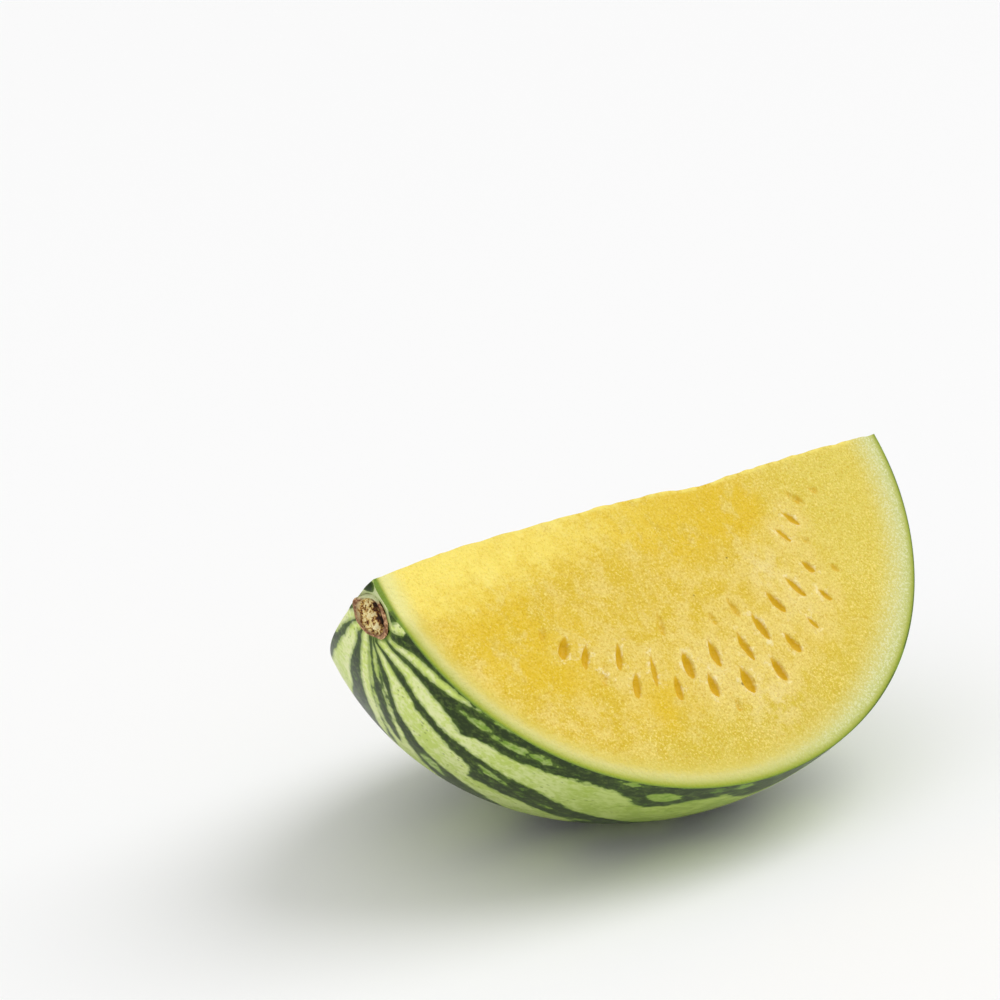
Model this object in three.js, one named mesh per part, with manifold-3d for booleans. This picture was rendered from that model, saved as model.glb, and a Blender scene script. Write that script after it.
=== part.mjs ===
// A quarter cut lengthwise from a seedless yellow watermelon, lying on its rind.
// Millimetres, +Z up. The origin is the middle of the small flat spot that it rests on.
// The fruit's axis runs along X with the stem end at -X. The near cut faces -Y and up,
// the far cut faces +Y and up, and the two meet in the ridge along the top.
import * as THREE from "three";
import { mergeVertices } from "three/addons/utils/BufferGeometryUtils.js";
import Module from "manifold-3d";

const wasm = await Module();
wasm.setup();
const rad = THREE.MathUtils.degToRad;

// The whole fruit, an ellipsoid turned round its axis
const FRUIT_LENGTH = 209;
const FRUIT_WIDTH = 180;
const ROUND_FACETS = 100;
const LENGTH_FACETS = 50;

// The pose: the stem end dips until the weight is over the spot that the piece rests on
const AXIS_DIP = 2.3;
const FLAT_TRIM = 0.3;
const FLOOR_DEPTH = 20;

// The cuts. Slopes are in degrees from level, the near cut passes the axis by some mm.
const NEAR_CUT_SLOPE = 49.9;
const NEAR_CUT_PAST_AXIS = 7.6;
const ANGLE_BETWEEN_CUTS = 86;

// The far cut took two strokes of the knife, and each left the ridge slightly bowed.
// Stations run along the axis, drops run down the near cut from the axis's foot.
const STROKES = [
  { from: { station: -104, drop: -7 }, to: { station: 21, drop: 0.9 }, bow: 2.9 },
  { from: { station: 21, drop: 0.9 }, to: { station: 104, drop: 5.5 }, bow: 1.4 },
];
const BOW_FULLNESS = 0.6;
const RIDGE_STEP = 8;
const CUTTER_REACH = 130;

// Seed hollows that the near cut opened, in an outer and an inner ring. Each has the
// station and drop of its middle, its length and its width.
const NEAR_HOLLOWS = [
  [-57, 30.5, 8, 3.8],
  [-51.7, 35.2, 8.5, 2.5],
  [-40.5, 48.5, 8.5, 2.7],
  [-27.2, 54, 8.5, 2.8],
  [-14.7, 57.3, 8, 3.6],
  [-1.9, 60.2, 9, 4.5],
  [11.5, 61, 8.8, 4.3],
  [22.1, 55.6, 8.3, 3.2],
  [34, 52.8, 5.3, 1.5],
  [44.8, 46.5, 6, 1.8],
  [-40.8, 38.8, 9, 2.5],
  [-32, 46.5, 10.5, 1.6],
  [-19.2, 49, 9.4, 4],
  [-7.8, 49, 9.3, 3.4],
  [4.4, 50.8, 10.5, 3],
  [14, 47.3, 10, 3.3],
  [24.9, 42.3, 9, 3.3],
  [35.6, 40.5, 9.5, 2.4],
  [45, 36.4, 6, 2.5],
  [42.7, 24.3, 7.5, 1.5],
  [49.5, 20.5, 7.5, 2],
];

// The far cut opened the same two rings. A ring's angle runs round the middle of the cut
// from the blossom end, and its reach is a share of the way out to the rind.
const FAR_RINGS = [
  { reach: 0.66, first: 146, last: 44, count: 10, length: 8.6, width: 3.9 },
  { reach: 0.565, first: 134, last: 30, count: 10, length: 9.4, width: 3.3 },
];
const RING_MIDDLE = 88;
const RING_HALF_SPAN = 60;
const SCATTER = { angle: 1.8, reach: 0.016, size: 0.18 };

// Every hollow leans towards the middle of the cut, is deep for its width, and thins out
// towards the ends of its ring
const LEAN_PER_MM = 0.72;
const DEPTH_TO_WIDTH = 0.62;
const THINNING = 0.6;
const SHORTENING = 0.3;
const HOLLOW_SIDES = 8;

// The stem scar: a corky stump with a raised rim, longer on the side where the stalk tore
const SCAR_RADIUS = 6;
const SCAR_NECK = 5.2;
const SCAR_TEAR_LENGTH = 1.3;
const SCAR_TEAR_ANGLE = -135;
const SCAR_SINK = 3;
const SCAR_SIDES = 40;
const SCAR_GAP = 0.3;

// A facet whose corners all lie this far out from the middle is rind
const ON_RIND_SHARE = 0.995;

const fleshColour = new THREE.Color(0xebcb52);
const skinColour = new THREE.Color(0x5d8a3c);
const corkColour = new THREE.Color(0xb98a63);

const halfLength = FRUIT_LENGTH / 2;
const halfWidth = FRUIT_WIDTH / 2;
const nearSlope = rad(NEAR_CUT_SLOPE);
const alongAxis = new THREE.Vector3(1, 0, 0);
const nearOut = new THREE.Vector3(0, -Math.sin(nearSlope), Math.cos(nearSlope));
const nearDown = new THREE.Vector3(0, -Math.cos(nearSlope), -Math.sin(nearSlope));
const farDown = nearDown
  .clone()
  .multiplyScalar(Math.cos(rad(ANGLE_BETWEEN_CUTS)))
  .addScaledVector(nearOut, -Math.sin(rad(ANGLE_BETWEEN_CUTS)));
const farOut = alongAxis.clone().cross(farDown);

// A closed geometry as a solid that can be cut and joined
function solidOf(geometry) {
  const plain = geometry.clone();
  plain.deleteAttribute("normal");
  plain.deleteAttribute("uv");
  const merged = mergeVertices(plain, 1e-4);
  return new wasm.Manifold(
    new wasm.Mesh({
      numProp: 3,
      vertProperties: merged.attributes.position.array,
      triVerts: new Uint32Array(merged.index.array),
    }),
  );
}

function geometryOf(solid) {
  const mesh = solid.getMesh();
  const geometry = new THREE.BufferGeometry();
  geometry.setAttribute("position", new THREE.BufferAttribute(mesh.vertProperties, 3));
  geometry.setIndex(new THREE.BufferAttribute(mesh.triVerts, 1));
  return geometry;
}

// How far down the near cut the ridge lies, at a station along the axis
function ridgeDrop(station) {
  const stroke = station < STROKES[0].to.station ? STROKES[0] : STROKES[1];
  const span = stroke.to.station - stroke.from.station;
  const way = THREE.MathUtils.clamp((station - stroke.from.station) / span, 0, 1);
  const straight = THREE.MathUtils.lerp(stroke.from.drop, stroke.to.drop, way);
  return straight - stroke.bow * Math.pow(4 * way * (1 - way), BOW_FULLNESS);
}

function nearCutPoint(station, drop) {
  return nearOut
    .clone()
    .multiplyScalar(NEAR_CUT_PAST_AXIS)
    .addScaledVector(alongAxis, station)
    .addScaledVector(nearDown, drop);
}

function farCutPoint(station, drop) {
  const ridge = nearCutPoint(station, ridgeDrop(station));
  return ridge.addScaledVector(farDown, drop - ridge.dot(farDown));
}

function wholeFruit() {
  const profile = [];
  for (let i = 0; i <= LENGTH_FACETS; i += 1) {
    const turn = (Math.PI * i) / LENGTH_FACETS;
    const radius = i === 0 || i === LENGTH_FACETS ? 0 : halfWidth * Math.sin(turn);
    profile.push(new THREE.Vector2(radius, -halfLength * Math.cos(turn)));
  }
  return new THREE.LatheGeometry(profile, ROUND_FACETS).rotateZ(-Math.PI / 2);
}

// Everything under both cuts: the outline under the ridge, swept down the far cut
function underBothCuts() {
  const outline = new THREE.Shape();
  outline.moveTo(-CUTTER_REACH, CUTTER_REACH);
  for (let station = -CUTTER_REACH; station <= CUTTER_REACH; station += RIDGE_STEP) {
    outline.lineTo(station, ridgeDrop(station));
  }
  outline.lineTo(CUTTER_REACH, ridgeDrop(CUTTER_REACH));
  outline.lineTo(CUTTER_REACH, CUTTER_REACH);
  const block = new THREE.ExtrudeGeometry(outline, { depth: CUTTER_REACH, bevelEnabled: false });
  const place = new THREE.Matrix4().makeBasis(alongAxis, nearDown, farDown);
  return block.applyMatrix4(place.setPosition(nearCutPoint(0, 0)));
}

// One seed hollow, an almond with a fuller lower end, as long and as wide as one
function almond() {
  const profile = [
    [0, -0.5],
    [0.3, -0.38],
    [0.5, -0.12],
    [0.46, 0.1],
    [0.26, 0.34],
    [0, 0.5],
  ];
  const points = profile.map(([radius, along]) => new THREE.Vector2(radius, along));
  return new THREE.LatheGeometry(points, HOLLOW_SIDES);
}

// A repeatable scatter between -1 and 1
function scatter(seed) {
  const wave = Math.sin(seed * 12.9898) * 43758.5453;
  return 2 * (wave - Math.floor(wave)) - 1;
}

// The far cut's hollows, in the same form as the near cut's list
function farHollows() {
  const hollows = [];
  for (const ring of FAR_RINGS) {
    for (let i = 0; i < ring.count; i += 1) {
      const seed = hollows.length + 1;
      const even = THREE.MathUtils.lerp(ring.first, ring.last, i / (ring.count - 1));
      const angle = rad(even + SCATTER.angle * scatter(seed));
      const reach = ring.reach + SCATTER.reach * scatter(seed + 100);
      const size = 1 + SCATTER.size * scatter(seed + 200);
      const offMiddle = Math.min(1, Math.abs(even - RING_MIDDLE) / RING_HALF_SPAN);
      hollows.push([
        reach * halfLength * Math.cos(angle),
        reach * halfWidth * Math.sin(angle),
        ring.length * size * (1 - SHORTENING * offMiddle ** 2),
        ring.width * size * (1 - THINNING * offMiddle ** 2),
      ]);
    }
  }
  return hollows;
}

// Almonds for a list of hollows, placed on a cut by its own point, down and out directions
function almondsOn(hollows, cutPoint, down, out) {
  return hollows.map(([station, drop, length, width]) => {
    const lean = rad(-LEAN_PER_MM * station);
    const along = down.clone().multiplyScalar(-Math.cos(lean));
    along.addScaledVector(alongAxis, Math.sin(lean));
    const place = new THREE.Matrix4().makeBasis(along.clone().cross(out), along, out);
    place.setPosition(cutPoint(station, drop));
    const size = new THREE.Matrix4().makeScale(width, length, 2 * width * DEPTH_TO_WIDTH);
    return almond().applyMatrix4(place.multiply(size));
  });
}

// How far the corky rim reaches from the middle of the scar, at an angle round it
function scarReach(angle) {
  const tear = Math.max(0, Math.cos(angle - rad(SCAR_TEAR_ANGLE)));
  return SCAR_RADIUS + SCAR_TEAR_LENGTH * tear ** 6;
}

// A turned profile at the stem end, stretched to the scar's outline. Its heights stand
// out from the fruit's tip.
function atStemEnd(profile) {
  const points = profile.map(([radius, height]) => new THREE.Vector2(radius, height));
  const body = new THREE.LatheGeometry(points, SCAR_SIDES);
  const place = body.attributes.position;
  for (let i = 0; i < place.count; i += 1) {
    const angle = Math.atan2(place.getZ(i), place.getX(i));
    const stretch = scarReach(angle) / SCAR_RADIUS;
    place.setX(i, place.getX(i) * stretch);
    place.setZ(i, place.getZ(i) * stretch);
  }
  return body.rotateZ(Math.PI / 2).translate(-halfLength, 0, 0);
}

// The stump sits in its crater and its rim spreads a little over the rind
function stemScar() {
  return atStemEnd([
    [0, -SCAR_SINK],
    [4.2, -SCAR_SINK],
    [SCAR_NECK - 0.2, -2.1],
    [SCAR_NECK, 0.12],
    [SCAR_RADIUS - 0.1, 0.12],
    [SCAR_RADIUS, 0.5],
    [5.5, 1],
    [4.8, 0.9],
    [4.2, -0.9],
    [3.4, -0.2],
    [1.8, 0.3],
    [0, 0.1],
  ]);
}

function stemCrater() {
  return atStemEnd([
    [0, -SCAR_SINK - SCAR_GAP],
    [4.2 + SCAR_GAP, -SCAR_SINK - SCAR_GAP],
    [SCAR_NECK - 0.2 + SCAR_GAP, -2.1],
    [SCAR_NECK + SCAR_GAP, 4],
    [0, 4],
  ]);
}

// The pose: the axis dips, and the lowest point comes down to the origin, less the trim
function toRest() {
  const dip = rad(AXIS_DIP);
  const height = Math.hypot(halfLength * Math.sin(dip), halfWidth * Math.cos(dip));
  const shift = ((halfLength ** 2 - halfWidth ** 2) * Math.sin(dip) * Math.cos(dip)) / height;
  const lift = new THREE.Matrix4().makeTranslation(shift, 0, height - FLAT_TRIM);
  return lift.multiply(new THREE.Matrix4().makeRotationY(-dip));
}

// What lies below the surface that the piece rests on
function floorBlock() {
  const block = new THREE.BoxGeometry(FRUIT_LENGTH, FRUIT_WIDTH, FLOOR_DEPTH);
  return block.translate(0, 0, -FLOOR_DEPTH / 2);
}

// Colours each facet by whether it lies on the rind or on a cut
function paintFacets(geometry, fromRest) {
  const facets = geometry.toNonIndexed();
  const place = facets.attributes.position;
  const colours = new Float32Array(place.count * 3);
  const point = new THREE.Vector3();
  for (let i = 0; i < place.count; i += 3) {
    let onRind = true;
    for (let corner = 0; corner < 3; corner += 1) {
      point.fromBufferAttribute(place, i + corner).applyMatrix4(fromRest);
      const reach = Math.hypot(point.x / halfLength, point.y / halfWidth, point.z / halfWidth);
      onRind = onRind && reach > ON_RIND_SHARE;
    }
    const colour = onRind ? skinColour : fleshColour;
    for (let corner = 0; corner < 3; corner += 1) {
      colour.toArray(colours, (i + corner) * 3);
    }
  }
  facets.setAttribute("color", new THREE.BufferAttribute(colours, 3));
  facets.computeVertexNormals();
  return facets;
}

const rest = toRest();

let wedge = solidOf(wholeFruit()).intersect(solidOf(underBothCuts()));
const almonds = [
  ...almondsOn(NEAR_HOLLOWS, nearCutPoint, nearDown, nearOut),
  ...almondsOn(farHollows(), farCutPoint, farDown, farOut),
];
for (const shape of almonds) {
  wedge = wedge.subtract(solidOf(shape));
}
wedge = wedge.subtract(solidOf(stemCrater()));
wedge = solidOf(geometryOf(wedge).applyMatrix4(rest)).subtract(solidOf(floorBlock()));

const melonWedge = new THREE.Mesh(
  paintFacets(geometryOf(wedge), rest.clone().invert()),
  new THREE.MeshStandardMaterial({ vertexColors: true, roughness: 0.45, metalness: 0 }),
);
melonWedge.name = "melon_wedge";

const scar = new THREE.Mesh(
  stemScar().applyMatrix4(rest),
  new THREE.MeshStandardMaterial({ color: corkColour, roughness: 0.9, metalness: 0 }),
);
scar.name = "stem_scar";

const melon = new THREE.Group();
melon.add(melonWedge, scar);
export default melon;
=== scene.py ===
# Dresses the yellow watermelon quarter: the striped rind, the two cuts and the stem scar.
# Pieces are shaped in millimetres round the fruit's own axis, stem end at -X, and are then
# laid down in the part's frame, in metres.
import math

import bpy
import numpy as np
from mathutils import Matrix, Vector


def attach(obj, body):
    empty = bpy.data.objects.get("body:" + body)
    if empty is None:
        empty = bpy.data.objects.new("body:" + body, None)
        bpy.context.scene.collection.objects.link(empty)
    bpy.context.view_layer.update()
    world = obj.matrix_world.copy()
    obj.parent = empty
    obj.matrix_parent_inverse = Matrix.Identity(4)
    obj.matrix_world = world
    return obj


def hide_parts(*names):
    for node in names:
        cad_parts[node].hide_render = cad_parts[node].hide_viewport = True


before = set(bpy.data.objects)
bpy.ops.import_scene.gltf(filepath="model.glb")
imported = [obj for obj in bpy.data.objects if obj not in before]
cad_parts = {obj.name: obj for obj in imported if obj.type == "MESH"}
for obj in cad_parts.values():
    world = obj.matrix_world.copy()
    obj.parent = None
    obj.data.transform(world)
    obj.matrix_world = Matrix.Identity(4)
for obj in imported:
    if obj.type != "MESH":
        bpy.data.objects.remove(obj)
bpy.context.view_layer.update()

bpy.ops.object.select_all(action="DESELECT")

# the photograph's view: lens for a 36 mm wide frame, place in m, turn in degrees
view = {
    "lens": 93.6,
    "place": (-0.5411, -0.5101, 0.3141),
    "turn": (73.626, 1.778, -44.218),
    "clipEnd": 20.0,
}
bpy.ops.object.camera_add(location=view["place"], rotation=[math.radians(a) for a in view["turn"]])
camera = bpy.context.object
camera.name = "view_camera"
camera.data.sensor_width = 36.0
camera.data.lens = view["lens"]
camera.data.clip_end = view["clipEnd"]
bpy.context.scene.camera = camera
print("camera set")

# the whole fruit and how the quarter lies
fruit = {
    "length": 209.0,
    "width": 180.0,
    "dip": 2.3,           # degrees that the stem end hangs down
    "flatTrim": 0.3,      # what the resting spot takes off
    "segments": 256,
    "rings": 180,
    "poleCrowding": 0.7,  # how much closer the rings lie at the two ends
}
halfLength = fruit["length"] / 2
halfWidth = fruit["width"] / 2
halfAxes = np.array([halfLength, halfWidth, halfWidth])
dip = math.radians(fruit["dip"])
restHeight = math.hypot(halfLength * math.sin(dip), halfWidth * math.cos(dip))
restShift = (halfLength ** 2 - halfWidth ** 2) * math.sin(dip) * math.cos(dip) / restHeight
restLift = restHeight - fruit["flatTrim"]

# the two cuts, as in the solid: slopes in degrees from level, the rest in mm
cuts = {
    "nearSlope": 49.9,
    "pastAxis": 7.6,
    "between": 86.0,
    "strokes": [((-104.0, -7.0), (21.0, 0.9), 2.9), ((21.0, 0.9), (104.0, 5.5), 1.4)],
    "bowFullness": 0.6,
    "meetingEase": 5.0,   # half the length over which the two strokes run together
    "meetingSteps": 7,
    "depth": 260.0,       # how far below the ridge the block's sides meet
    "nearTouch": 0.01,    # how close to a cut's plane a point counts as on it
    "farTouch": 0.12,
    "ridgeTouch": 0.05,
}
nearSlope = math.radians(cuts["nearSlope"])
between = math.radians(cuts["between"])
alongAxis = np.array([1.0, 0.0, 0.0])
nearOut = np.array([0.0, -math.sin(nearSlope), math.cos(nearSlope)])
nearDown = np.array([0.0, -math.cos(nearSlope), -math.sin(nearSlope)])
farDown = nearDown * math.cos(between) - nearOut * math.sin(between)
farOut = np.cross(alongAxis, farDown)
ridgeOut = (nearOut + farOut) / np.linalg.norm(nearOut + farOut)


def strokeDrop(station):
    drops = np.zeros_like(station)
    first, second = cuts["strokes"]
    for (start, end, bow), chosen in ((first, station < second[0][0]), (second, station >= second[0][0])):
        way = np.clip((station - start[0]) / (end[0] - start[0]), 0.0, 1.0)
        straight = start[1] + (end[1] - start[1]) * way
        drops = np.where(chosen, straight - bow * (4 * way * (1 - way)) ** cuts["bowFullness"], drops)
    return drops


def ridgeDrop(station):
    offsets = np.linspace(-cuts["meetingEase"], cuts["meetingEase"], cuts["meetingSteps"])
    return sum(strokeDrop(station + offset) for offset in offsets) / len(offsets)


def nearCutPoint(station, drop):
    return nearOut * cuts["pastAxis"] + np.outer(station, alongAxis) + np.outer(drop, nearDown)


def smooth(low, high, value):
    way = np.clip((value - low) / (high - low), 0.0, 1.0)
    return way * way * (3 - 2 * way)


noiseTurns = np.array([12.9898, 78.233, 37.719])
noiseScale = 43758.5453
noiseShift = 17.31        # how far one seed's pattern lies from the next one's


# repeatable noise from -1 to 1, for points in rows, about one lump for each size
def lumps(points, size, seed):
    at = points / size + seed * noiseShift
    cell = np.floor(at)
    part = at - cell
    part = part * part * (3 - 2 * part)
    total = np.zeros(len(points))
    for corner in range(8):
        step = np.array([corner & 1, corner >> 1 & 1, corner >> 2 & 1])
        wave = np.sin((cell + step) @ noiseTurns) * noiseScale
        weight = np.prod(np.where(step == 1, part, 1 - part), axis=1)
        total += weight * (2 * (wave - np.floor(wave)) - 1)
    return total


def vertexPlaces(piece):
    places = np.empty(len(piece.data.vertices) * 3)
    piece.data.vertices.foreach_get("co", places)
    return places.reshape(-1, 3)


def moveVertices(piece, places):
    piece.data.vertices.foreach_set("co", np.ascontiguousarray(places, dtype=np.float32).ravel())
    piece.data.update()


def giveField(piece, name, values):
    layer = piece.data.attributes.new(name, "FLOAT", "POINT")
    layer.data.foreach_set("value", np.ascontiguousarray(values, dtype=np.float32))


def only(piece):
    bpy.ops.object.select_all(action="DESELECT")
    piece.select_set(True)
    bpy.context.view_layer.objects.active = piece


def layDown(piece):
    turn = Matrix.Rotation(-dip, 4, "Y")
    lift = Matrix.Translation(Vector((restShift, 0.0, restLift)))
    piece.matrix_world = Matrix.Scale(0.001, 4) @ lift @ turn
    only(piece)
    bpy.ops.object.transform_apply(location=True, rotation=True, scale=True)


# how far out from the middle a point lies, as a share of the way to the skin
def share(points):
    return np.linalg.norm(points / halfAxes, axis=1)


def depthUnderSkin(points):
    steep = np.linalg.norm(points / halfAxes ** 2, axis=1)
    return (1 - share(points) ** 2) / (2 * steep)


# length along the rind from the stem end's tip, against the station along the axis
archTurns = np.linspace(0.0, math.pi, 2000)
archStations = -halfLength * np.cos(archTurns)
archSteps = np.hypot(np.diff(archStations), np.diff(halfWidth * np.sin(archTurns)))
archLengths = np.concatenate([[0.0], np.cumsum(archSteps)])


def alongRind(points):
    turns = np.arctan2(np.hypot(points[:, 1], points[:, 2]) / halfWidth, -points[:, 0] / halfLength)
    return np.interp(turns, archTurns, archLengths)


# the scar's seat and the low collar round it, in mm at the stem end's tip, and the dimple at
# the blossom end
seat = {
    "radius": 6.0,
    "neck": 5.5,
    "neckEase": 0.25,
    "tearLength": 1.3,
    "tearAngle": -135.0,
    "tearSharpness": 6,
    "sink": 3.6,
    "collarRadius": 8.2,
    "collarWidth": 2.2,
    "collarHeight": 1.2,
    "collarTilt": 0.4,    # share of its height that the collar loses from the top to halfway down
    "blossomRadius": 2.4,
    "blossomDip": 0.7,
    "swell": 0.5,         # slow lumps of the whole rind
    "swellSize": 45.0,
    "swellFrom": (8.0, 30.0),   # they set in over this distance from the axis
    "noTip": 1000.0,      # the distance from the tip that the far half of the fruit is given
}


def seatReach(angle):
    tear = np.maximum(0.0, np.cos(angle - math.radians(seat["tearAngle"])))
    return seat["radius"] + seat["tearLength"] * tear ** seat["tearSharpness"]


def makeFruit():
    bpy.ops.mesh.primitive_uv_sphere_add(
        segments=fruit["segments"], ring_count=fruit["rings"], radius=1.0, rotation=(0.0, -math.pi / 2, 0.0))
    whole = bpy.context.object
    bpy.ops.object.transform_apply(location=False, rotation=True, scale=False)
    ball = vertexPlaces(whole)
    turn = np.arccos(np.clip(-ball[:, 0], -1.0, 1.0))
    turn = turn - fruit["poleCrowding"] * np.sin(2 * turn) / 2
    around = np.arctan2(ball[:, 2], ball[:, 1])
    radius = halfWidth * np.sin(turn)
    places = np.stack([-halfLength * np.cos(turn), radius * np.cos(around), radius * np.sin(around)], 1)
    reach = seatReach(around) / seat["radius"]
    fromTip = np.where(places[:, 0] < 0, radius / reach, seat["noTip"])
    lift = seat["swell"] * lumps(places, seat["swellSize"], 3) * smooth(*seat["swellFrom"], radius)
    collar = np.exp(-((fromTip - seat["collarRadius"]) / seat["collarWidth"]) ** 2)
    lift += seat["collarHeight"] * collar * (1 + seat["collarTilt"] * (np.sin(around) - 1))
    lift -= seat["sink"] * smooth(seat["neck"] + seat["neckEase"], seat["neck"] - seat["neckEase"], fromTip)
    dimple = seat["blossomDip"] * np.exp(-(radius / (2 * seat["blossomRadius"])) ** 2)
    lift -= np.where(places[:, 0] > 0, dimple, 0.0)
    outward = places / halfAxes ** 2
    outward /= np.linalg.norm(outward, axis=1)[:, None]
    moveVertices(whole, places + outward * lift[:, None])
    return whole


# the cut faces' mesh lines: from, to and step in mm along the axis and down each cut
lines = {
    "stations": [(-122.0, -66.0, 1.4), (-66.0, 66.0, 0.5), (66.0, 122.0, 1.4)],
    "nearDrops": [
        (0.0, 1.6, 0.4), (1.6, 10.6, 1.0), (10.6, 72.6, 0.5), (72.6, 98.6, 1.0), (98.6, 122.6, 8.0)],
    "farDrops": [
        (0.0, 1.6, 0.4), (1.6, 11.6, 1.0), (11.6, 72.8, 0.9), (72.8, 98.8, 1.3), (98.8, 122.8, 8.0)],
}


def stepped(spans):
    stops = [np.arange(low, high - step / 2, step) for low, high, step in spans]
    return np.concatenate(stops + [[spans[-1][1]]])


# one sheet folded along the ridge and drawn to a point far below, which both cuts bound
def makeCutBlock():
    stations = stepped(lines["stations"])
    nearDrops = stepped(lines["nearDrops"])
    farDrops = stepped(lines["farDrops"])
    rows = np.concatenate([-nearDrops[::-1], farDrops[1:]])
    bpy.ops.mesh.primitive_grid_add(x_subdivisions=len(stations) - 1, y_subdivisions=len(rows) - 1, size=2.0)
    block = bpy.context.object
    flat = vertexPlaces(block)
    column = np.rint((flat[:, 0] + 1) / 2 * (len(stations) - 1)).astype(int)
    row = np.rint((flat[:, 1] + 1) / 2 * (len(rows) - 1)).astype(int)
    station = stations[column]
    drop = rows[row]
    places = nearCutPoint(station, ridgeDrop(station) + np.maximum(0.0, -drop))
    places += np.outer(np.maximum(0.0, drop), farDown)
    moveVertices(block, places)
    bpy.ops.object.mode_set(mode="EDIT")
    bpy.ops.mesh.select_mode(type="EDGE")
    bpy.ops.mesh.select_all(action="DESELECT")
    bpy.ops.mesh.select_non_manifold(
        use_wire=False, use_multi_face=False, use_non_contiguous=False, use_verts=False)
    bpy.ops.mesh.extrude_region_move(TRANSFORM_OT_translate={"value": (0.0, 0.0, -cuts["depth"])})
    bpy.ops.mesh.merge(type="CENTER")
    bpy.ops.mesh.select_all(action="SELECT")
    bpy.ops.mesh.normals_make_consistent(inside=False)
    bpy.ops.object.mode_set(mode="OBJECT")
    return block


# seed hollows: station and drop of the middle, length and width, in mm. The near cut's are
# listed from the stem end on, first the outer ring and then the inner one.
hollows = {
    "near": [
        (-57.0, 30.5, 8.0, 3.8), (-51.7, 35.2, 8.5, 2.5), (-40.5, 48.5, 8.5, 2.7), (-27.2, 54.0, 8.5, 2.8),
        (-14.7, 57.3, 8.0, 3.6), (-1.9, 60.2, 9.0, 4.5), (11.5, 61.0, 8.8, 4.3), (22.1, 55.6, 8.3, 3.2),
        (34.0, 52.8, 5.3, 1.5), (44.8, 46.5, 6.0, 1.8),
        (-40.8, 38.8, 9.0, 2.5), (-32.0, 46.5, 10.5, 1.6), (-19.2, 49.0, 9.4, 4.0), (-7.8, 49.0, 9.3, 3.4),
        (4.4, 50.8, 10.5, 3.0), (14.0, 47.3, 10.0, 3.3), (24.9, 42.3, 9.0, 3.3), (35.6, 40.5, 9.5, 2.4),
        (45.0, 36.4, 6.0, 2.5), (42.7, 24.3, 7.5, 1.5), (49.5, 20.5, 7.5, 2.0),
    ],
    "nearFaint": [
        (-61.3, 24.5, 5.0, 3.0), (-49.0, 42.0, 8.0, 3.2), (8.3, 38.8, 7.5, 3.2), (-1.2, 39.3, 5.5, 2.6),
        (-20.5, 35.0, 8.0, 3.4), (54.5, 39.7, 5.0, 2.4), (50.2, 28.5, 4.5, 2.0), (55.7, 14.8, 9.0, 3.6),
        (65.0, 14.8, 5.0, 2.4), (-10.3, 65.5, 5.0, 3.0),
    ],
    "farRings": [(0.66, 146.0, 44.0, 10, 8.6, 3.9), (0.565, 134.0, 30.0, 10, 9.4, 3.3)],
    "ringMiddle": 88.0,
    "ringHalfSpan": 60.0,
    "scatter": {"angle": 1.8, "reach": 0.016, "size": 0.18},
    "leanPerMm": 0.72,
    "depthToWidth": 0.5,
    "fullness": 0.7,      # how flat a hollow's floor is, less for a flatter one
    "faintDepth": 0.3,
    "faintFullness": 1.5,
    "lowerTaper": 0.55,
    "upperTaper": 0.85,
    "girth": 0.5213,      # less for wider and deeper hollows
    "leastHalf": 0.02,
    "upperEnd": 0.4,      # share of the depth that is left at the upper end
    "lip": 1.3,
    "unevenness": 0.3,
    "unevenSize": 2.6,
    "thinning": 0.6,
    "shortening": 0.3,
    # how far the pale halo round a hollow reaches, partly paler flesh and partly painted highlight on the
    # lips
    "halo": 3.6,
}


def scatter(seed):
    wave = math.sin(seed * noiseTurns[0]) * noiseScale
    return 2 * (wave - math.floor(wave)) - 1


def farHollows():
    rows = []
    jitter = hollows["scatter"]
    for reach, first, last, count, length, width in hollows["farRings"]:
        for i in range(count):
            seed = len(rows) + 1
            even = first + (last - first) * i / (count - 1)
            angle = math.radians(even + jitter["angle"] * scatter(seed))
            out = reach + jitter["reach"] * scatter(seed + 100)
            size = 1 + jitter["size"] * scatter(seed + 200)
            offMiddle = min(1.0, abs(even - hollows["ringMiddle"]) / hollows["ringHalfSpan"])
            rows.append((out * halfLength * math.cos(angle), out * halfWidth * math.sin(angle),
                         length * size * (1 - hollows["shortening"] * offMiddle ** 2),
                         width * size * (1 - hollows["thinning"] * offMiddle ** 2)))
    return rows


# how deep each point of a cut sinks into a hollow, and how far it is inside or outside one
def sinkInto(rows, station, drop, depthToWidth, fullness):
    sink = np.zeros_like(station)
    inside = np.full_like(station, -1.0)
    for middle, low, length, width in rows:
        lean = math.radians(-hollows["leanPerMm"] * middle)
        right = station - middle
        up = low - drop
        along = (right * math.sin(lean) + up * math.cos(lean)) / length
        aside = np.abs(right * math.cos(lean) - up * math.sin(lean))
        close = np.abs(along) < 0.5
        way = np.clip(along + 0.5, 0.0, 1.0)
        girth = way ** hollows["lowerTaper"] * (1 - way) ** hollows["upperTaper"] / hollows["girth"]
        girth = np.where(close, girth, 0.0)
        half = np.maximum(girth * (width + hollows["lip"]) / 2, hollows["leastHalf"])
        gap = np.hypot(np.maximum(0.0, aside - half), np.maximum(0.0, np.abs(along) - 0.5) * length)
        halo = -np.clip(gap / hollows["halo"], 0.0, 1.0)
        within = np.where(close, 1 - (aside / half) ** 2, -1.0)
        fade = hollows["upperEnd"] + (1 - hollows["upperEnd"]) * smooth(0.5, 0.0, along)
        inside = np.maximum(inside, np.where(within > 0, within * fade, halo))
        depth = width * depthToWidth * girth * fade * np.maximum(within, 0.0) ** fullness
        sink = np.maximum(sink, np.where(within > 0, depth, 0.0))
    return sink, inside


def nearestMiddle(rows, station, drop):
    gaps = [np.hypot(station - row[0], drop - row[1]) for row in rows]
    return np.min(gaps, axis=0)


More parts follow.
